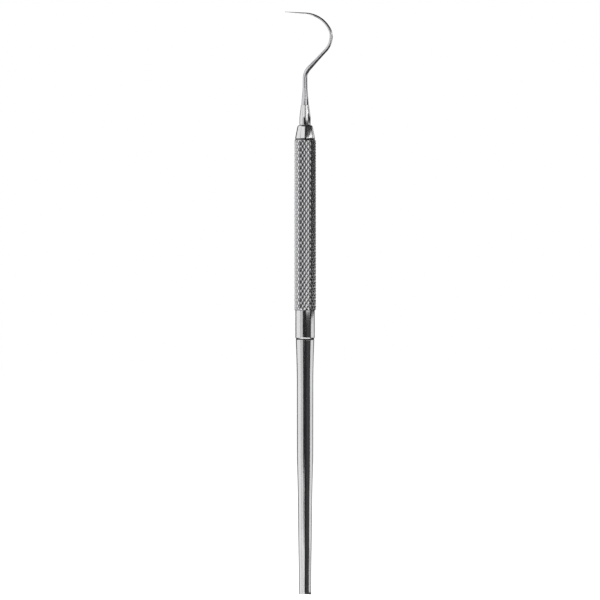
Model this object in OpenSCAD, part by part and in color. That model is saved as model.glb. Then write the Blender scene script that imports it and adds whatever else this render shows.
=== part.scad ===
// Hook scriber: knurled pin-vice handle, screwed-on tapered tail, collet nose and a bent, interchangeable point.
// Millimetres. The axis is Z, the flat end of the tail is at z = 0 and the hook bends in the XZ plane.

/* [Tail] */
// length of the tapered tail below its ring
tail_len = 72.1; // [60:0.1:90]
// radius at the flat end of the tail
tail_end_r = 1.75; // [1.5:0.05:1.9]
// radius of the tail's shoulder where it meets the ring
tail_top_r = 2.64; // [2.5:0.02:2.7]
// length of the threaded spigot on the tail
spigot_len = 4.8; // [4:0.1:5]
// thickness of the ring between tail and collar
ring_t = 0.3; // [0.2:0.05:0.8]

/* [Grip] */
// length of the smooth collar
collar_len = 8; // [7:0.5:12]
// radius of the smooth collar
collar_r = 2.78; // [2.7:0.02:2.9]
// length of the knurled sleeve
grip_len = 48.25; // [45:0.25:60]
// radius over the knurled sleeve
grip_r = 3.12; // [3:0.02:3.6]
// chamfer on both ends of the knurled sleeve
grip_chamfer = 0.25; // [0.1:0.05:0.3]

/* [Nose] */
// thickness of the thrust washer under the nose
washer_t = 0.28; // [0.2:0.02:0.5]
// height of the clamping nose above its washer
nose_len = 3.87; // [3.8:0.01:5]
// radius at the foot of the nose
nose_foot_r = 2.87; // [2.7:0.01:3]
// radius of the nose below its rounded shoulder
nose_top_r = 2.2; // [2.1:0.05:2.4]

/* [Point] */
// length of the ferrule that carries the needle
ferrule_len = 5.7; // [5:0.1:8]
// radius of the ferrule's foot
ferrule_r = 1.6; // [1.4:0.05:1.8]
// radius of the needle where it leaves the ferrule
needle_root_r = 1.02; // [0.9:0.02:1.1]
// radius at the very tip
needle_tip_r = 0.06; // [0.04:0.01:0.15]

/* [Hidden] */
$fn = 64;
eps = 0.01;

// Stations along the axis, from the flat tail end up.
z_collar = tail_len + ring_t;
z_grip = z_collar + collar_len;
z_seat = z_grip + grip_len;
z_nose = z_seat + washer_t;
z_ferrule = z_nose + nose_len;
z_needle = z_ferrule + ferrule_len;

// Radii of the turning and sliding fits.
spigot_r = 1.75;
core_r = 2.55;
core_spigot_r = 2.2;
core_spigot_len = 3;
seat_gap = 0.02;
slide_gap = 0.05;
skirt_r = 2;
skirt_bore_r = 1.55;
collet_r = 1.4;
collet_bore_r = 0.9;
bush_r = 0.87;
bush_bore_r = 0.63;
tang_r = 0.6;
thread_pitch = 0.5;
thread_depth = 0.27;

// Inner stations, all measured down from the seat of the nose.
z_skirt = z_seat - 7;
z_collet = z_seat - 24.65;
z_stop = z_seat - 32.65;
stop_len = 3;
stop_r = 1.2;
z_key = z_collet + 4;
key_r = 0.45;
z_collet_top = z_ferrule - 0.7;
z_tang = z_ferrule - 12;

// Ring-grooved thread flank, as [radius, height] pairs from the bottom to the top.
function thread(r, z0, z1) =
    let (count = floor((z1 - z0) / thread_pitch))
    [for (i = [0:count - 1], k = [0:3])
        let (z = z0 + i * thread_pitch)
        k == 0 ? [r - thread_depth, z + 0.03] :
        k == 1 ? [r, z + 0.22] :
        k == 2 ? [r, z + 0.28] : [r - thread_depth, z + 0.47]];

module turned(profile, sides = 64) {
    rotate_extrude($fn = sides) polygon(profile);
}

module tube(outer, inner, z0, z1) {
    difference() {
        translate([0, 0, z0]) cylinder(r = outer, h = z1 - z0);
        translate([0, 0, z0 - 1]) cylinder(r = inner, h = z1 - z0 + 2);
    }
}

// Slender shank, nearly parallel in the middle, flared to its shoulder, with a threaded spigot on top.
module tail() {
    t = tail_len / 72.1;
    z_relief = tail_len + 0.6;
    z_tip = tail_len + spigot_len;
    color("silver") turned(concat(
        [[0, 0], [tail_end_r - 0.15, 0], [tail_end_r, 0.15], [tail_end_r + 0.02, 7 * t], [1.9, 15 * t],
         [2.04, 27 * t], [2.28, 38 * t], [2.32, 47 * t], [2.33, 61 * t], [2.45, 66.4 * t],
         [2.53, 69 * t], [tail_top_r, tail_len - 0.1], [tail_top_r - 0.1, tail_len],
         [spigot_r - thread_depth, tail_len], [spigot_r - thread_depth, z_relief]],
        thread(spigot_r, z_relief, z_tip - 0.3),
        [[spigot_r - 0.35, z_tip - 0.2], [spigot_r - 0.45, z_tip], [0, z_tip]]
    ));
}

// Flat lock ring pinched between the tail's shoulder and the collar.
module tail_ring() {
    r = tail_top_r - 0.04;
    color("black") turned([
        [spigot_r + slide_gap, tail_len], [r - 0.1, tail_len], [r, tail_len + 0.1],
        [r, z_collar - 0.1], [r - 0.1, z_collar], [spigot_r + slide_gap, z_collar]
    ]);
}

// Smooth collar: threaded bore for the tail below, socket for the core tube above.
module collar() {
    z_socket = z_grip - core_spigot_len;
    color("lightgray") turned([
        [spigot_r + slide_gap, z_collar], [collar_r - 0.2, z_collar], [collar_r, z_collar + 0.22],
        [collar_r, z_grip], [core_spigot_r + seat_gap, z_grip], [core_spigot_r + seat_gap, z_socket],
        [spigot_r + slide_gap, z_socket]
    ]);
}

// Inner tube under the knurled sleeve: screw seat, spring and collet bore, wide bore for the nose skirt.
module core_tube() {
    color("darkgray") difference() {
        union() {
            translate([0, 0, z_grip - core_spigot_len]) cylinder(r = core_spigot_r, h = core_spigot_len + eps);
            translate([0, 0, z_grip]) cylinder(r = core_r, h = z_seat - z_grip);
        }
        translate([0, 0, z_stop - stop_len - 0.6]) cylinder(r = stop_r + seat_gap, h = stop_len + 1);
        translate([0, 0, z_stop]) cylinder(r = collet_r + slide_gap, h = z_seat);
        translate([0, 0, z_skirt]) cylinder(r = skirt_r + slide_gap, h = z_seat);
        translate([0, 0, z_key]) rotate([0, 90, 0]) cylinder(r = key_r + seat_gap, h = core_r + 1);
    }
}

// Knurled sleeve pressed over the core tube, as the cylinder over its diamond crests.
module knurled_grip() {
    color("gray") turned([
        [core_r + seat_gap, z_grip], [grip_r - grip_chamfer, z_grip], [grip_r, z_grip + grip_chamfer],
        [grip_r, z_seat - grip_chamfer], [grip_r - grip_chamfer, z_seat], [core_r + seat_gap, z_seat]
    ], 96);
}

// Grub screw that backs the spring, with a hexagon socket.
module stop_screw() {
    color("dimgray") difference() {
        translate([0, 0, z_stop - stop_len]) cylinder(r = stop_r, h = stop_len);
        translate([0, 0, z_stop - 1.2]) cylinder(r = 0.6, h = 2, $fn = 6);
    }
}

// Compression spring between the grub screw and the foot of the collet.
module collet_spring() {
    turns = 8;
    steps = 14;
    sides = 8;
    wire_r = 0.17;
    coil_r = 1.1;
    z_low = z_stop + wire_r;
    rise = z_collet - z_stop - 2 * wire_r;
    count = turns * steps;
    points = [for (i = [0:count], k = [0:sides - 1])
        let (a = 360 * i / steps, b = 360 * k / sides, r = coil_r + wire_r * cos(b))
        [r * cos(a), r * sin(a), z_low + rise * i / count + wire_r * sin(b)]];
    skin = [for (i = [0:count - 1], k = [0:sides - 1])
        let (m = (k + 1) % sides, a = i * sides)
        each [[a + k, a + sides + m, a + m], [a + k, a + sides + k, a + sides + m]]];
    first = [[for (k = [0:sides - 1]) k]];
    last = [[for (k = [sides - 1:-1:0]) count * sides + k]];
    color("lightsteelblue") polyhedron(points, concat(skin, first, last));
}

// Dowel in the wall of the core tube that stops the collet from turning.
module collet_key() {
    color("black") translate([0.8, 0, z_key]) rotate([0, 90, 0]) cylinder(r = key_r, h = core_r - 0.85);
}

// Thin dark thrust washer between the handle and the turning nose.
module nose_washer() {
    color("black") tube(nose_foot_r - 0.12, skirt_r + slide_gap, z_seat, z_nose);
}

// Collet: keyed stem, three spring fingers and a cone that the nose squeezes.
module collet() {
    z_bore = z_tang - 2;
    z_cone = z_nose + 0.7;
    color("goldenrod") difference() {
        turned([
            [0, z_collet], [collet_r - 0.1, z_collet], [collet_r, z_collet + 0.1], [collet_r, z_cone],
            [1.12, z_collet_top], [collet_bore_r, z_collet_top], [collet_bore_r, z_bore], [0, z_bore]
        ]);
        for (a = [30, 150, 270])
            rotate([0, 0, a]) translate([0, -0.15, z_bore - 2]) cube([3, 0.3, z_ferrule]);
        translate([0.7, -0.5, z_key - 2.5]) cube([2, 1, 5]);
    }
}

// Nose that screws into the handle and pulls its inner cone down over the collet.
module nose_cone() {
    shoulder = 0.45;
    z_arc = z_ferrule - shoulder;
    arc = [for (a = [0:15:90]) [nose_top_r - shoulder + shoulder * cos(a), z_arc + shoulder * sin(a)]];
    color("silver") turned(concat(
        [[skirt_bore_r, z_skirt + 0.2], [skirt_r - thread_depth, z_skirt + 0.2]],
        thread(skirt_r, z_skirt + 0.3, z_seat - 0.5),
        [[skirt_r - thread_depth, z_nose], [nose_foot_r - 0.1, z_nose], [nose_foot_r, z_nose + 0.1]],
        arc,
        [[tang_r + 0.1, z_ferrule], [tang_r + 0.1, z_collet_top + 0.12], [1.2, z_collet_top + 0.12],
         [collet_r + 0.09, z_nose + 0.74], [skirt_bore_r, z_nose + 0.4]]
    ));
}

// Split bush that fits the slim tang of the point to the collet.
module tang_bush() {
    color("peru") difference() {
        tube(bush_r, bush_bore_r, z_tang + 0.1, z_collet_top);
        translate([0, -0.1, z_tang - 1]) cube([2, 0.2, 15]);
    }
}

// Ferrule of the point: tang below, flared foot on the nose, socket for the needle on top.
module point_ferrule() {
    color("gainsboro") turned([
        [0, z_tang], [tang_r - 0.1, z_tang], [tang_r, z_tang + 0.1], [tang_r, z_ferrule],
        [ferrule_r - 0.1, z_ferrule], [ferrule_r, z_ferrule + 0.1], [ferrule_r, z_ferrule + 2],
        [1.44, z_ferrule + 3.42], [1.19, z_needle - 0.4],
        [1.16, z_needle - 0.06], [1.07, z_needle], [0.62, z_needle], [0.62, z_needle - 2.1], [0, z_needle - 2.1]
    ]);
}

// Needle: heading in degrees from +Z towards +X, and radius, both against the length along the wire.
needle_bend = [
    [0, 0], [7.5, 0], [10.7, 43], [17.5, 43], [22, 0],
    [24.1, -27], [29.6, -66], [32.6, -86], [38.4, -86]
];
needle_taper = [
    [0, needle_root_r], [1.5, 0.94], [3.2, 0.79], [4.2, 0.71], [5.2, 0.66], [8, 0.63], [11, 0.63],
    [14.6, 0.5], [20, 0.45], [28.5, 0.34], [33, 0.21], [38.4, needle_tip_r]
];
needle_rings = 70;
needle_step = 38.4 / needle_rings;
function heading(s) = lookup(s, needle_bend);
function walk(s) = needle_step * [sin(heading(s)), cos(heading(s))];
needle_spine = [for (i = 0, p = [0, z_needle]; i <= needle_rings; i = i + 1, p = p + walk((i - 0.5) * needle_step)) p];
function wire_ring(x, z, turn, r, sides) = [for (k = [0:sides - 1])
    let (b = 360 * k / sides, u = r * cos(b), v = r * sin(b))
    [x + u * cos(turn), v, z - u * sin(turn)]];

// Bent and tapered scribing needle with a stub that is brazed into the ferrule.
module hook_needle() {
    sides = 16;
    stub = [wire_ring(0, z_needle - 2, 0, 0.6, sides), wire_ring(0, z_needle, 0, 0.6, sides)];
    wire = [for (i = [0:needle_rings])
        let (p = needle_spine[i], s = i * needle_step)
        wire_ring(p[0], p[1], heading(s), lookup(s, needle_taper), sides)];
    rings = concat(stub, wire);
    last = len(rings) - 1;
    points = [for (ring = rings, p = ring) p];
    skin = [for (i = [0:last - 1], k = [0:sides - 1])
        let (m = (k + 1) % sides, a = i * sides)
        each [[a + k, a + sides + m, a + m], [a + k, a + sides + k, a + sides + m]]];
    foot = [[for (k = [0:sides - 1]) k]];
    tip = [[for (k = [sides - 1:-1:0]) last * sides + k]];
    color("gainsboro") polyhedron(points, concat(skin, foot, tip));
}

tail();
tail_ring();
collar();
core_tube();
knurled_grip();
stop_screw();
collet_spring();
collet_key();
nose_washer();
collet();
nose_cone();
tang_bush();
point_ferrule();
hook_needle();
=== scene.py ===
# %% [markdown]
# # A hook scriber in polished steel
# A scriber is a marking-out tool: a hard steel point that scratches a line on metal. This one has a
# knurled grip, a slender tail that screws in from behind, and a bent needle held in a small collet.
# The frame brings in the exact inner pieces. Everything that shows is modelled again here with the
# eased edges, diamond knurl and screw threads that give turned steel its looks.

# %% Load the exact frame
import bpy
from math import cos, floor, pi, radians, sin, tau
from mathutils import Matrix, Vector


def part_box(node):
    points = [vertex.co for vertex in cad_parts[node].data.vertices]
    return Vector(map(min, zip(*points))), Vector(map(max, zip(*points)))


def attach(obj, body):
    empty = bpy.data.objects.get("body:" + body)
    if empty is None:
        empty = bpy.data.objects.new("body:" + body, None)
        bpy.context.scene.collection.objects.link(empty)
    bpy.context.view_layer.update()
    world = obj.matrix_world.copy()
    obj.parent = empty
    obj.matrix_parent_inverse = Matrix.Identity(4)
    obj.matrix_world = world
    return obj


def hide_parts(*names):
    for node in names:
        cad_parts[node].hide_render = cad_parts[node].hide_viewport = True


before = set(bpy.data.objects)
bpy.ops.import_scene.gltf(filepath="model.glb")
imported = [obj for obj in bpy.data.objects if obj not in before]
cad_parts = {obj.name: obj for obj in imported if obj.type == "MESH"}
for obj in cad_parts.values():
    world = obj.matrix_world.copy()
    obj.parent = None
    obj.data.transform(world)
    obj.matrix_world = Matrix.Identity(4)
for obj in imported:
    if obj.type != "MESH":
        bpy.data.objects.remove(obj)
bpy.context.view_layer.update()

print("pieces in the frame:", ", ".join(sorted(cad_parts)))

# %% [markdown]
# ## Where each piece sits
# The handle stands on Z, so a turned piece is fully placed by its two ends and its radius. All
# three are read from the frame, in millimetres, and the profiles below are written from them.

# %% Measure the stations along the handle
MM = 0.001


def ends(node):
    low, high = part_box(node)
    return low[2] / MM, high[2] / MM


def radius(node):
    low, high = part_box(node)
    return (high[1] - low[1]) / 2 / MM


TAIL_FOOT, SPIGOT_TIP = ends("tail")
RING_FOOT, RING_TOP = ends("tail_ring")
COLLAR_FOOT, COLLAR_TOP = ends("collar")
GRIP_FOOT, GRIP_TOP = ends("knurled_grip")
SKIRT_FOOT, NOSE_TOP = ends("nose_cone")
NOSE_FOOT = ends("nose_washer")[1]
TANG_FOOT, FERRULE_TOP = ends("point_ferrule")
print(f"tail {TAIL_FOOT:.1f} to {RING_FOOT:.1f} mm, grip {GRIP_FOOT:.1f} to {GRIP_TOP:.1f} mm, "
      f"nose to {NOSE_TOP:.1f} mm, ferrule to {FERRULE_TOP:.1f} mm")

# %% [markdown]
# ## The camera
# A slender object looks best through a long lens from far off, because its two edges then stay
# parallel. The focal length follows from the height that the picture has to cover.

# %% Aim a long lens squarely at the handle
PICTURE_HEIGHT = 169.8 * MM
PICTURE_CENTRE_X = -1.43 * MM
PICTURE_CENTRE_Z = 83.3 * MM
CAMERA_DISTANCE = 1.2
SENSOR_WIDTH = 36.0

camera_data = bpy.data.cameras.new("LongLens")
camera_data.sensor_width = SENSOR_WIDTH
camera_data.lens = SENSOR_WIDTH * CAMERA_DISTANCE / PICTURE_HEIGHT
camera = bpy.data.objects.new("LongLens", camera_data)
bpy.context.scene.collection.objects.link(camera)
camera.location = (PICTURE_CENTRE_X, -CAMERA_DISTANCE, PICTURE_CENTRE_Z)
camera.rotation_euler = (pi / 2, 0, 0)
bpy.context.scene.camera = camera
print(f"lens {camera_data.lens:.0f} mm at {CAMERA_DISTANCE} m")

# %% [markdown]
# ## Helpers for materials
# Colours are picked as sRGB hex values, because that is how colour charts give them, but the
# shader works in linear light. One function converts them, and one adds a node with its settings
# and links.

# %% Colour and node helpers
def linear(hex_colour):
    parts = [int(hex_colour[i:i + 2], 16) / 255 for i in (1, 3, 5)]
    parts = [p / 12.92 if p <= 0.04045 else ((p + 0.055) / 1.055) ** 2.4 for p in parts]
    return (*parts, 1.0)


def add_node(tree, kind, settings=None, inputs=None):
    node = tree.nodes.new(kind)
    for name, value in (settings or {}).items():
        setattr(node, name, value)
    for name, value in (inputs or {}).items():
        if isinstance(value, bpy.types.NodeSocket):
            tree.links.new(value, node.inputs[name])
        else:
            node.inputs[name].default_value = value
    return node


def blank_material(name):
    material = bpy.data.materials.new(name)
    material.use_nodes = True
    material.node_tree.nodes.clear()
    return material, material.node_tree


def place(tree):
    return add_node(tree, "ShaderNodeTexCoord").outputs["Object"]


def finish_with(tree, shader):
    add_node(tree, "ShaderNodeOutputMaterial", inputs={"Surface": shader.outputs["BSDF"]})

# %% [markdown]
# ## Turned and polished stainless steel
# The tail, collar, nose and ferrule come off a lathe and are then polished. A lathe tool leaves
# rings round the work, one for each feed of about 0.1 mm, and polishing nearly removes them. So
# the height is a noise that changes only along Z. At 0.1 mm the rings are finer than the picture
# can show, so they are drawn at 0.35 mm and kept very shallow. Handling adds fine scratches that
# run mostly along the tool and change how sharply it reflects, and a faint cloudiness of colour.

# %% Turned steel
SCRATCH_MM = 0.3
SCRATCH_PACE_ALONG_Z = 0.06
CLOUD_MM = 7


def turned_steel(name, light, dark, roughness, ring_mm, ring_depth_mm):
    material, tree = blank_material(name)
    spot = place(tree)
    along = add_node(tree, "ShaderNodeSeparateXYZ", inputs={"Vector": spot})
    rings = add_node(tree, "ShaderNodeTexNoise", {"noise_dimensions": "1D"},
                     {"W": along.outputs["Z"], "Scale": 1 / (ring_mm * MM), "Detail": 2.0})
    stretch = add_node(tree, "ShaderNodeMapping", {"vector_type": "POINT"},
                       {"Vector": spot, "Scale": (1.0, 1.0, SCRATCH_PACE_ALONG_Z)})
    scratches = add_node(tree, "ShaderNodeTexNoise", inputs={
        "Vector": stretch.outputs["Vector"], "Scale": 1 / (SCRATCH_MM * MM),
        "Detail": 4.0, "Roughness": 0.7})
    clouds = add_node(tree, "ShaderNodeTexNoise", inputs={
        "Vector": spot, "Scale": 1 / (CLOUD_MM * MM), "Detail": 3.0})
    colour = add_node(tree, "ShaderNodeMix", {"data_type": "RGBA"}, {
        "Factor": clouds.outputs["Fac"], "A": linear(dark), "B": linear(light)})
    haze = add_node(tree, "ShaderNodeMapRange", inputs={
        "Value": scratches.outputs["Fac"], "From Min": 0.35, "From Max": 0.75,
        "To Min": roughness * 0.8, "To Max": roughness * 1.5})
    relief = add_node(tree, "ShaderNodeBump", inputs={
        "Height": rings.outputs["Fac"], "Distance": ring_depth_mm * MM, "Strength": 1.0})
    shader = add_node(tree, "ShaderNodeBsdfPrincipled", inputs={
        "Base Color": colour.outputs[2], "Metallic": 1.0,
        "Roughness": haze.outputs["Result"], "Normal": relief.outputs["Normal"]})
    finish_with(tree, shader)
    return material


POLISHED_STAINLESS = turned_steel("TurnedStainlessPolished", "#DEDEDF", "#D0D0D1",
                                  roughness=0.13, ring_mm=0.35, ring_depth_mm=0.0006)
BORED_STEEL = turned_steel("TurnedSteelAsBored", "#9A9CA0", "#86888C",
                           roughness=0.32, ring_mm=0.30, ring_depth_mm=0.004)
SPRING_STEEL = turned_steel("DrawnSpringSteel", "#A8ABB0", "#8E9196",
                            roughness=0.22, ring_mm=0.20, ring_depth_mm=0.001)
print("polished, bored and drawn steel ready")

# %% [markdown]
# ## Ground and hardened point steel
# The needle is tool steel, hardened, bent hot and ground on a belt. Grinding leaves fine lines
# along it, which the scratches above stand for. They are a little rougher here, and the steel is
# a touch darker and greyer than stainless.

# %% Ground point steel
POINT_STEEL = turned_steel("GroundHardenedToolSteel", "#D4D4D6", "#C4C4C7",
                           roughness=0.17, ring_mm=0.50, ring_depth_mm=0.0004)
print("point steel ready")

# %% [markdown]
# ## Knurled stainless steel
# Knurling rolls grooves into the bar. The colour is painted darker in the grooves than on the
# bright crests, as painted shade, and the grooves are also rougher. The distance from the axis
# tells crest from groove, so it sets both the colour and the roughness. A fine grain stands for the
# rolled surface.

# %% Knurled steel
KNURL_DEPTH = 0.23
KNURL_CREST = radius("knurled_grip")
KNURL_ROOT = KNURL_CREST - KNURL_DEPTH
GRAIN_MM = 0.12


def knurled_steel():
    material, tree = blank_material("KnurledStainlessRolled")
    spot = place(tree)
    across = add_node(tree, "ShaderNodeVectorMath", {"operation": "MULTIPLY"},
                      {0: spot, 1: (1, 1, 0)})
    reach = add_node(tree, "ShaderNodeVectorMath", {"operation": "LENGTH"},
                     {0: across.outputs["Vector"]})
    height = add_node(tree, "ShaderNodeMapRange", inputs={
        "Value": reach.outputs["Value"],
        "From Min": KNURL_ROOT * MM, "From Max": KNURL_CREST * MM})
    grain = add_node(tree, "ShaderNodeTexNoise", inputs={
        "Vector": spot, "Scale": 1 / (GRAIN_MM * MM), "Detail": 3.0, "Roughness": 0.6})
    # Painted shade: the colour runs from dark in the grooves up to bright metal on the crests.
    colour = add_node(tree, "ShaderNodeValToRGB", inputs={"Fac": height.outputs["Result"]})
    colour.color_ramp.elements[0].color = linear("#76777A")
    colour.color_ramp.elements[1].color = linear("#E2E2E3")
    colour.color_ramp.elements[1].position = 0.55
    rough = add_node(tree, "ShaderNodeMapRange", inputs={
        "Value": height.outputs["Result"], "To Min": 0.32, "To Max": 0.13})
    relief = add_node(tree, "ShaderNodeBump", inputs={
        "Height": grain.outputs["Fac"], "Distance": 0.004 * MM})
    shader = add_node(tree, "ShaderNodeBsdfPrincipled", inputs={
        "Base Color": colour.outputs["Color"], "Metallic": 1.0,
        "Roughness": rough.outputs["Result"], "Normal": relief.outputs["Normal"]})
    finish_with(tree, shader)
    return material


KNURLED_STAINLESS = knurled_steel()
print(f"knurl colour runs from {KNURL_ROOT:.2f} to {KNURL_CREST:.2f} mm from the axis")

# %% [markdown]
# ## Black-oxided steel and bronze
# Small screws, dowels, washers and the tail's ring are dipped in a hot black oxide bath: a thin
# satin skin that keeps the metal's gloss but hardly any of its brightness. The collet and bush
# are bronze, which springs and slides well against steel, left as turned with a light brown
# tarnish.

# %% Small-part finishes
def tinted_metal(name, light, dark, metallic, roughness, patch_mm):
    material, tree = blank_material(name)
    spot = place(tree)
    patches = add_node(tree, "ShaderNodeTexNoise", inputs={
        "Vector": spot, "Scale": 1 / (patch_mm * MM), "Detail": 4.0, "Roughness": 0.65})
    colour = add_node(tree, "ShaderNodeMix", {"data_type": "RGBA"}, {
        "Factor": patches.outputs["Fac"], "A": linear(dark), "B": linear(light)})
    rough = add_node(tree, "ShaderNodeMapRange", inputs={
        "Value": patches.outputs["Fac"], "To Min": roughness * 0.75, "To Max": roughness * 1.3})
    relief = add_node(tree, "ShaderNodeBump", inputs={
        "Height": patches.outputs["Fac"], "Distance": 0.003 * MM})
    shader = add_node(tree, "ShaderNodeBsdfPrincipled", inputs={
        "Base Color": colour.outputs[2], "Metallic": metallic,
        "Roughness": rough.outputs["Result"], "Normal": relief.outputs["Normal"]})
    finish_with(tree, shader)
    return material


BLACK_OXIDE = tinted_metal("BlackOxidedSteel", "#3A3A3C", "#1E1E20",
                           metallic=0.85, roughness=0.38, patch_mm=0.8)
TURNED_BRONZE = tinted_metal("TurnedPhosphorBronze", "#C39A63", "#8F6A3B",
                             metallic=1.0, roughness=0.3, patch_mm=0.6)
print("black oxide and bronze ready")

# %% [markdown]
# ## Turning a profile
# A lathe makes every round piece here, so one function does the same: it spins a profile of
# (radius, height) points about Z. Real edges are never razor sharp, and a tiny round on each
# corner catches a thin bright line, so the profile is eased before it is spun. A point may carry
# a third number, the depth of a screw thread there: the groove then winds round as it is spun.

# %% Lathe helpers
THREAD_PITCH = 0.5
THREAD_DEPTH = 0.27
ROWS_PER_TURN = 10
GENTLE_BEND = radians(18)


def eased(profile, round_mm):
    """Rounds the corners of a profile with short curves that stay on the inside of each corner."""
    out = [profile[0]]
    for before, corner, after in zip(profile, profile[1:], profile[2:]):
        back, ahead = Vector(before) - Vector(corner), Vector(after) - Vector(corner)
        if back.angle(-ahead, 0) < GENTLE_BEND:
            out.append(corner)
            continue
        start = Vector(corner) + back.normalized() * min(round_mm, back.length * 0.45)
        stop = Vector(corner) + ahead.normalized() * min(round_mm, ahead.length * 0.45)
        for t in (0, 0.25, 0.5, 0.75, 1):
            bend = start * (1 - t) ** 2 + Vector(corner) * 2 * t * (1 - t) + stop * t * t
            out.append((bend.x, bend.y))
    return out + [profile[-1]]


def thread_rows(crest, low, high):
    """Rows of a thread between two heights; the depth fades in and out over one pitch."""
    count = int(round((high - low) / THREAD_PITCH * ROWS_PER_TURN))
    rows = []
    for i in range(count + 1):
        z = low + (high - low) * i / count
        fade = min(1, (z - low) / THREAD_PITCH, (high - z) / THREAD_PITCH)
        rows.append((crest, z, THREAD_DEPTH * max(fade, 0)))
    return rows


def groove(turns):
    """Depth of a V thread over one turn, from 0 on its flat crest to 1 in its flat root."""
    t = turns - floor(turns)
    return max(0, min(1, 1.25 - abs(t - 0.5) * 3.2))


def spin(name, profile, sides=144):
    """Spins (radius, height[, thread depth]) in mm about Z, and closes a bored piece's profile."""
    verts, rings, faces = [], [], []
    for r, z, *deep in profile:
        if r < 1e-6:
            rings.append([len(verts)] * sides)
            verts.append((0, 0, z * MM))
            continue
        rings.append(list(range(len(verts), len(verts) + sides)))
        for k in range(sides):
            a = tau * k / sides
            cut = r - (deep[0] * groove(z / THREAD_PITCH - k / sides) if deep else 0)
            verts.append((cut * cos(a) * MM, cut * sin(a) * MM, z * MM))
    pairs = list(zip(rings, rings[1:]))
    if profile[0][0] > 1e-6 and profile[-1][0] > 1e-6:
        pairs.append((rings[-1], rings[0]))
    for low, high in pairs:
        for k in range(sides):
            m = (k + 1) % sides
            corners = list(dict.fromkeys((low[k], low[m], high[m], high[k])))
            if len(corners) > 2:
                faces.append(corners)
    return build(name, verts, faces)


def build(name, verts, faces, sharp_at=38):
    mesh = bpy.data.meshes.new(name)
    mesh.from_pydata(verts, [], faces)
    mesh.validate()
    mesh.shade_smooth()
    mesh.set_sharp_from_angle(angle=radians(sharp_at))
    piece = bpy.data.objects.new(name, mesh)
    bpy.context.scene.collection.objects.link(piece)
    return piece


def fit(piece, body, node, material):
    """Gives a piece its finish and its body, and hides the exact node that it stands for."""
    piece.data.materials.append(material)
    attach(piece, body)
    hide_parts(node)
    print(f"{piece.name}: {len(piece.data.polygons)} faces for {node}")

# %% [markdown]
# ## The tail
# One slim bar, nearly parallel along its middle, thinned towards its flat end and flared at the
# shoulder. Straight lines between a few diameters would show as kinks in the long reflections, so a
# smooth curve is drawn through them. A screw thread on the spigot holds it in the collar.

# %% Turn the tail
TAIL_LENGTH = RING_FOOT - TAIL_FOOT
DIAMETERS_DRAWN_FOR = 72
TAIL_DIAMETERS = [(0, 3.50), (7, 3.54), (15, 3.80), (27, 4.08), (38, 4.56), (47, 4.64),
                  (55, 4.66), (61, 4.68), (66.4, 4.90), (69, 5.06), (71.9, 5.28)]
SPIGOT_R = 1.75
NECK_R = 1.48
NECK_TOP = RING_FOOT + 0.75


def smooth_through(points, steps=6):
    """Catmull-Rom curve through (height, value) points."""
    padded = [points[0]] + points + [points[-1]]
    curve = []
    for a, b, c, d in zip(padded, padded[1:], padded[2:], padded[3:]):
        for i in range(steps):
            t = i / steps
            curve.append(tuple(
                0.5 * (2 * q + (r - p) * t + (2 * p - 5 * q + 4 * r - s) * t * t
                       + (3 * q - p - 3 * r + s) * t ** 3)
                for p, q, r, s in zip(a, b, c, d)))
    return curve + [points[-1]]


stretch = TAIL_LENGTH / DIAMETERS_DRAWN_FOR
shank = [(d / 2, TAIL_FOOT + z * stretch) for z, d in smooth_through(TAIL_DIAMETERS)]
foot = eased([(0, TAIL_FOOT), (shank[0][0], TAIL_FOOT), shank[1]], 0.22)[:-1]
neck = eased([shank[-2], (shank[-1][0], RING_FOOT), (NECK_R, RING_FOOT),
              (NECK_R, RING_FOOT + 0.5), (SPIGOT_R, NECK_TOP)], 0.12)[1:]
spigot = thread_rows(SPIGOT_R, NECK_TOP, SPIGOT_TIP - 0.35)[1:]
spigot_end = [(1.35, SPIGOT_TIP), (0, SPIGOT_TIP)]
tail = spin("TailShank", foot + shank[1:-1] + neck + spigot + spigot_end)
fit(tail, "tail_body", "tail", POLISHED_STAINLESS)

# %% [markdown]
# ## The ring and the collar
# A thin blackened ring is pinched between the tail's shoulder and the collar, and shows as a dark
# line. Just above it the collar's lower edge is bevelled. The bevel leans down, so it mirrors the
# bright patch under the tool and draws one bright line.

# %% Turn the ring and the collar
CLEAR_OF_SPIGOT = 1.80
SOCKET_R = 2.22
SOCKET_DEPTH = 3
BEVEL_WIDTH, BEVEL_HEIGHT = 0.20, 0.22

ring_r = radius("tail_ring")
ring = spin("TailRing", eased([
    (CLEAR_OF_SPIGOT, RING_FOOT), (ring_r, RING_FOOT),
    (ring_r, RING_TOP), (CLEAR_OF_SPIGOT, RING_TOP)], 0.14))
fit(ring, "tail_ring_body", "tail_ring", BLACK_OXIDE)

collar_r = radius("collar")
collar = spin("SmoothCollar", eased([
    (CLEAR_OF_SPIGOT, COLLAR_FOOT), (collar_r - BEVEL_WIDTH, COLLAR_FOOT),
    (collar_r, COLLAR_FOOT + BEVEL_HEIGHT), (collar_r, COLLAR_TOP), (SOCKET_R, COLLAR_TOP),
    (SOCKET_R, COLLAR_TOP - SOCKET_DEPTH), (CLEAR_OF_SPIGOT, COLLAR_TOP - SOCKET_DEPTH)], 0.08))
fit(collar, "handle", "collar", POLISHED_STAINLESS)

# %% [markdown]
# ## The knurled sleeve
# A diamond knurl is two sets of V grooves, one winding each way. Where they cross they leave rows
# of small four-sided pyramids. A bump map would leave the outline of the grip smooth, so the
# pyramids are real faces: each has four flanks from the groove crossings up to a small flat crest.
# The grid below alternates groove crossings and crests, 18 round the bar and 1.7 mm apart along
# it, which sets the grooves at about the usual 30 degrees. Flat facets are right here, because
# they are what sparkles.

# %% Roll the knurl
STARTS = 18
DIAMOND_LENGTH = 1.70
CREST_FLAT = 0.14
LAND = 0.34
END_CHAMFER = 0.16
SLEEVE_BORE = 2.57


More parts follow.
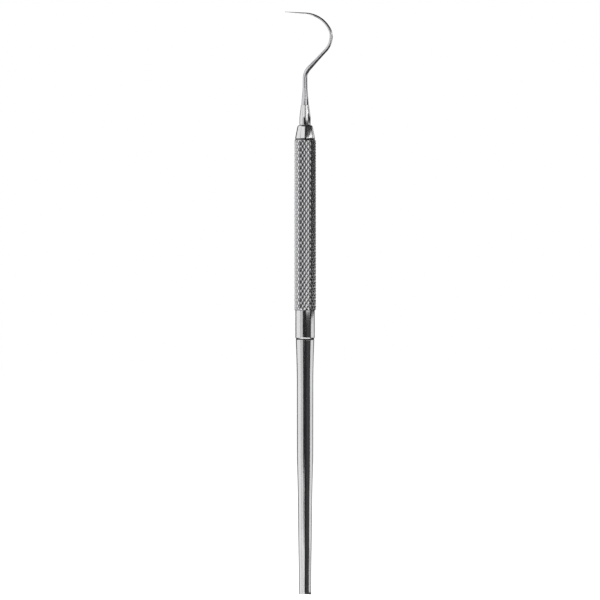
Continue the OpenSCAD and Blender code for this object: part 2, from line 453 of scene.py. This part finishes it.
def knurled_sleeve():
    low, high = GRIP_FOOT + LAND, GRIP_TOP - LAND
    rows = 2 * round((high - low) / DIAMOND_LENGTH)
    columns = 2 * STARTS
    step = (high - low) / rows
    verts, faces = [], []

    def point(i, j, r):
        a = tau * j / columns
        verts.append((r * cos(a) * MM, r * sin(a) * MM, (low + i * step) * MM))
        return len(verts) - 1

    crossing = {(i, j): point(i, j, KNURL_ROOT)
                for i in range(rows + 1) for j in range(columns) if (i + j) % 2 == 0}
    rims = {0: {}, rows: {}}
    for i in range(rows + 1):
        for j in range(columns):
            if (i + j) % 2 == 0:
                continue
            around = [(i, j - 1), (i - 1, j), (i, j + 1), (i + 1, j)]
            flat = [point(i + (a - i) * CREST_FLAT, j + (b - j) * CREST_FLAT, KNURL_CREST)
                    if 0 <= a <= rows else None for a, b in around]
            faces.append([v for v in flat if v is not None])
            for k in range(4):
                a, b = around[k], around[(k + 1) % 4]
                if flat[k] is None or flat[(k + 1) % 4] is None:
                    continue
                foot_a = crossing[a[0], a[1] % columns]
                foot_b = crossing[b[0], b[1] % columns]
                faces.append([foot_a, foot_b, flat[(k + 1) % 4], flat[k]])
            if i in rims:
                rims[i][j] = (flat[0], flat[2])
    return verts, faces, crossing, rims, rows, columns


def knurl_rim(crossing, rims, row, columns):
    """The zigzag edge of the knurl at one end, as vertex numbers once round."""
    edge = []
    for j in range(columns):
        edge += rims[row][j] if j in rims[row] else (crossing[row, j],)
    return edge


def close_end(verts, faces, edge, end, inward):
    """Carries the zigzag edge over a chamfer and a flat end face down to the bore."""
    loops = [edge]
    for r, z in [(KNURL_CREST - 0.17, end + inward * END_CHAMFER), (KNURL_ROOT, end),
                 (SLEEVE_BORE, end)]:
        start = len(verts)
        for v in edge:
            x, y, _ = verts[v]
            length = (x * x + y * y) ** 0.5
            verts.append((x / length * r * MM, y / length * r * MM, z * MM))
        loops.append(list(range(start, len(verts))))
    for outer, inner in zip(loops, loops[1:]):
        for k in range(len(edge)):
            m = (k + 1) % len(edge)
            quad = [outer[k], outer[m], inner[m], inner[k]]
            faces.append(quad if inward < 0 else quad[::-1])
    return loops[-1]


verts, faces, crossing, rims, rows, columns = knurled_sleeve()
bottom = close_end(verts, faces, knurl_rim(crossing, rims, 0, columns), GRIP_FOOT, 1)
top = close_end(verts, faces, knurl_rim(crossing, rims, rows, columns), GRIP_TOP, -1)
for k in range(len(bottom)):
    m = (k + 1) % len(bottom)
    faces.append((bottom[m], bottom[k], top[k], top[m]))
sleeve = build("KnurledSleeve", verts, faces, sharp_at=8)
fit(sleeve, "handle", "knurled_grip", KNURLED_STAINLESS)
print(f"{STARTS} starts each way and {rows // 2} diamonds along the grip")

# %% [markdown]
# ## The clamping nose
# The nose is a nut with a cone inside. Its threaded skirt screws into the handle, and the cone
# closes the collet on the point's tang. Outside it tapers to a softly rounded shoulder. The
# skirt's thread only shows once the nose is backed off, but it winds at the true 0.5 mm a turn,
# so it then leaves the handle exactly as a screw does.

# %% Turn the nose
SKIRT_R, SKIRT_BORE, RELIEF_R = 2.0, 1.55, 1.74
MOUTH_R, LIP_HEIGHT = 0.70, 0.58
CONE_TOP_R = 2.12

nose_r = (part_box("nose_cone")[1][1]) / MM
skirt = [(SKIRT_BORE, SKIRT_FOOT), (1.78, SKIRT_FOOT), (SKIRT_R, SKIRT_FOOT + 0.2)]
skirt += thread_rows(SKIRT_R, SKIRT_FOOT + 0.25, GRIP_TOP - 0.35)
outside = eased([(SKIRT_R, GRIP_TOP - 0.3), (RELIEF_R, GRIP_TOP - 0.1), (RELIEF_R, NOSE_FOOT),
                 (nose_r, NOSE_FOOT), (nose_r - 0.03, NOSE_FOOT + 0.25)], 0.1)
cone = eased([outside[-1], (CONE_TOP_R, NOSE_TOP), (1.0, NOSE_TOP)], 0.55)[1:-1]
inside = eased([(1.0, NOSE_TOP), (MOUTH_R, NOSE_TOP), (MOUTH_R, NOSE_TOP - LIP_HEIGHT),
                (1.20, NOSE_TOP - LIP_HEIGHT), (1.49, NOSE_FOOT + 0.74),
                (SKIRT_BORE, NOSE_FOOT + 0.40)], 0.06)
nose = spin("ClampNose", skirt + outside + cone + inside)
fit(nose, "nose_body", "nose_cone", POLISHED_STAINLESS)

# %% [markdown]
# ## The ferrule
# Every point has the same foot: a slim tang that the collet grips, and a ferrule that lands on
# the nose. The ferrule narrows upwards to a small lip, and the needle is brazed into its socket.

# %% Turn the ferrule
TANG_R = 0.60
NEEDLE_SOCKET_R, NEEDLE_SOCKET_DEPTH = 0.62, 2.1

ferrule_r = radius("point_ferrule")
ferrule_height = FERRULE_TOP - NOSE_TOP
ferrule_profile = eased([
    (0, TANG_FOOT), (TANG_R, TANG_FOOT), (TANG_R, NOSE_TOP), (ferrule_r, NOSE_TOP),
    (ferrule_r, NOSE_TOP + ferrule_height * 0.34)], 0.12)
ferrule_profile += eased([
    (ferrule_r, NOSE_TOP + ferrule_height * 0.36), (1.44, NOSE_TOP + ferrule_height * 0.60),
    (1.19, FERRULE_TOP - 0.4), (1.16, FERRULE_TOP), (NEEDLE_SOCKET_R, FERRULE_TOP),
    (NEEDLE_SOCKET_R, FERRULE_TOP - NEEDLE_SOCKET_DEPTH),
    (0, FERRULE_TOP - NEEDLE_SOCKET_DEPTH)], 0.10)
ferrule = spin("PointFerrule", ferrule_profile, sides=112)
fit(ferrule, "point_body", "point_ferrule", POLISHED_STAINLESS)

# %% [markdown]
# ## The hook needle
# The needle starts as straight wire, is ground to its taper and then bent round formers, so its
# line is made of straights and arcs. That is how it is built here: each bend is a length of wire
# and the angle it turns through. A ring of points is carried along that line and shrinks with the
# taper. A curve object with a bevel could do it too, but then the taper is harder to set.

# %% Bend the needle
BENDS = [(7.5, 0), (3.2, 43), (6.8, 0), (4.5, -43), (2.1, -27), (5.5, -39), (3.0, -20),
         (5.8, 0)]
TAPER = [(0, 1.02), (1.5, 0.94), (3.2, 0.79), (4.2, 0.71), (5.2, 0.66), (8, 0.63), (11, 0.63),
         (14.6, 0.50), (20, 0.45), (28.5, 0.34), (33, 0.21), (38.4, 0.06)]
WIRE_STEP = 0.15
WIRE_SIDES = 28
BRAZED_R, BRAZED_LENGTH = 0.6, 2


def wire_line(bends, step):
    """Positions and headings along the wire, in the XZ plane, as (length, x, z, heading)."""
    s, x, z, heading = 0.0, 0.0, FERRULE_TOP, 0.0
    line = [(s, x, z, heading)]
    for length, turn in bends:
        count = max(1, round(length / step))
        for _ in range(count):
            heading += radians(turn) / count / 2
            x += sin(heading) * length / count
            z += cos(heading) * length / count
            s += length / count
            heading += radians(turn) / count / 2
            line.append((s, x, z, heading))
    return line


def thickness(s, table):
    for (a, u), (b, v) in zip(table, table[1:]):
        if s <= b:
            return u + (v - u) * (s - a) / (b - a)
    return table[-1][1]


def hook_needle():
    line = wire_line(BENDS, WIRE_STEP)
    table = smooth_through(TAPER, 4)
    seat = FERRULE_TOP - 0.02
    rings = [(0, FERRULE_TOP - BRAZED_LENGTH, 0, BRAZED_R), (0, seat, 0, BRAZED_R),
             (0, seat, 0, 1.0)]
    rings += [(x, z, heading, thickness(s, table)) for s, x, z, heading in line]
    verts, faces = [], []
    for x, z, heading, r in rings:
        for k in range(WIRE_SIDES):
            a = tau * k / WIRE_SIDES
            u, v = r * cos(a), r * sin(a)
            verts.append(((x + u * cos(heading)) * MM, v * MM, (z - u * sin(heading)) * MM))
    for i in range(len(rings) - 1):
        for k in range(WIRE_SIDES):
            m = (k + 1) % WIRE_SIDES
            a, b = i * WIRE_SIDES, (i + 1) * WIRE_SIDES
            faces.append((a + k, a + m, b + m, b + k))
    faces.append(tuple(range(WIRE_SIDES))[::-1])
    last = (len(rings) - 1) * WIRE_SIDES
    faces.append(tuple(range(last, last + WIRE_SIDES)))
    return build("HookNeedle", verts, faces)


needle = hook_needle()
fit(needle, "point_body", "hook_needle", POINT_STEEL)
print(f"wire length {sum(length for length, _ in BENDS):.1f} mm")

# %% [markdown]
# ## Finishes for the exact inner pieces
# The core tube, collet, bush, spring, key, washer and stop screw keep their exact shapes. They
# are nearly all hidden, but the washer's edge shows and the rest may be seen with the tool taken
# apart, so they get real finishes too.

# %% Finish the inner pieces
INNER = {
    "core_tube": BORED_STEEL, "stop_screw": BLACK_OXIDE, "collet_key": BLACK_OXIDE,
    "nose_washer": BLACK_OXIDE, "collet_spring": SPRING_STEEL,
    "collet": TURNED_BRONZE, "tang_bush": TURNED_BRONZE,
}
for node, material in INNER.items():
    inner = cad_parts[node]
    for material_slot in inner.material_slots:
        material_slot.material = material
    print(node, "is", material.name)

# %% [markdown]
# ## The studio
# Polished metal shows its surroundings, so lighting it means choosing what it reflects. A tall
# softbox stands to the left, a dimmer one left of the front and a low one to the right, and the
# front is left dark: on a round bar that gives a bright band, a broad dark band and a softer
# bright band. Past the softboxes the room is dark again, which draws a thin dark line down both
# edges. The cone, the ferrule and the flanks of the knurl lean up or down, so they mirror places
# above and below the tool: they have softboxes of their own there, mostly beside the others and
# not over them, because light from two softboxes in one place adds up and burns out.
# The camera sees a white floor and a white room. The metal mirrors a dark room instead, with one
# bright patch under the tool.

# %% Floor, softboxes and room
def white_floor(name, half_width, height, unseen_in_metal):
    material, tree = blank_material("PaleStudioFloor")
    shader = add_node(tree, "ShaderNodeBsdfPrincipled", inputs={
        "Base Color": linear("#F4F4F4"), "Roughness": 0.9, "Specular IOR Level": 0.0,
        "Emission Color": linear("#FFFFFF"), "Emission Strength": 0.98})
    finish_with(tree, shader)
    floor_mesh = bpy.data.meshes.new(name)
    corners = [(x * half_width, y * half_width, 0) for x, y in ((-1, -1), (1, -1), (1, 1), (-1, 1))]
    floor_mesh.from_pydata(corners, [], [(0, 1, 2, 3)])
    floor_mesh.materials.append(material)
    plane = bpy.data.objects.new(name, floor_mesh)
    bpy.context.scene.collection.objects.link(plane)
    plane.location.z = height
    plane.visible_glossy = not unseen_in_metal
    plane.visible_camera = unseen_in_metal


def softbox(name, bearing, distance, width, height, centre_z, radiance, tilt):
    """A flat light facing the handle; its bearing runs in degrees from the camera towards +X."""
    data = bpy.data.lights.new(name, "AREA")
    data.shape = "RECTANGLE"
    data.size, data.size_y = width, height
    data.energy = radiance * pi * width * height
    light = bpy.data.objects.new(name, data)
    bpy.context.scene.collection.objects.link(light)
    a = radians(bearing)
    light.location = (distance * sin(a), -distance * cos(a), centre_z)
    aim = Vector((0, 0, centre_z - distance * sin(radians(tilt)))) - light.location
    light.rotation_euler = aim.to_track_quat("-Z", "Y").to_euler()
    light.visible_camera = False


white_floor("StudioFloor", 4.0, -0.02 * MM, unseen_in_metal=True)
white_floor("SoftboxUnderTool", 0.12, -0.12, unseen_in_metal=False)

# Bearing and tilt are in degrees, and distance, width, height and the height of the centre in
# metres. Radiance is how bright the panel's face looks, where 1 would be seen as plain white.
SOFTBOXES = [
    # name, bearing, distance, width, height, centre, radiance, tilt
    ("LeftSoftbox", -92, 0.50, 0.62, 1.30, 0.10, 1.05, 0),
    ("LeftFrontSoftbox", -43, 0.52, 0.28, 0.265, 0.1025, 0.74, 0),
    ("RightSoftbox", 101, 0.60, 0.60, 0.163, 0.0315, 0.95, 0),
    ("RightUpperSoftbox", 73, 0.60, 0.46, 0.068, 0.315, 1.60, 0),
    ("RightMiddleSoftbox", 120, 0.60, 0.44, 0.080, 0.255, 0.80, 0),
    ("BackSoftbox", 180, 0.95, 1.00, 0.90, 0.15, 0.80, 0),
    ("FerruleSoftbox", 36, 0.40, 0.34, 0.138, 0.201, 1.15, 0),
    ("KnurlUpperSoftbox", -31, 0.50, 0.49, 0.29, 0.3675, 1.05, 25),
    ("KnurlLowerSoftbox", -31, 0.50, 0.49, 0.30, -0.165, 1.05, -25),
    ("RightLowSoftbox", 108, 0.60, 0.70, 0.28, -0.24, 0.12, -25),
    ("FrontFill", 42, 0.80, 0.60, 1.00, 0.10, 0.035, 0),
]
for settings in SOFTBOXES:
    softbox(*settings)

MIRRORED_ROOM, SEEN_ROOM = "#2E2E30", "#FFFFFF"
room = bpy.data.worlds.new("StudioRoom")
bpy.context.scene.world = room
room.use_nodes = True
room.node_tree.nodes.clear()
ray = add_node(room.node_tree, "ShaderNodeLightPath")
dark, white = [add_node(room.node_tree, "ShaderNodeBackground",
                        inputs={"Color": linear(colour), "Strength": 1.0})
               for colour in (MIRRORED_ROOM, SEEN_ROOM)]
mix = add_node(room.node_tree, "ShaderNodeMixShader", inputs={
    "Fac": ray.outputs["Is Camera Ray"], 1: dark.outputs[0], 2: white.outputs[0]})
add_node(room.node_tree, "ShaderNodeOutputWorld", inputs={"Surface": mix.outputs[0]})
bpy.context.scene.view_settings.view_transform = "Standard"
print("softboxes:", [light.name for light in bpy.data.lights])
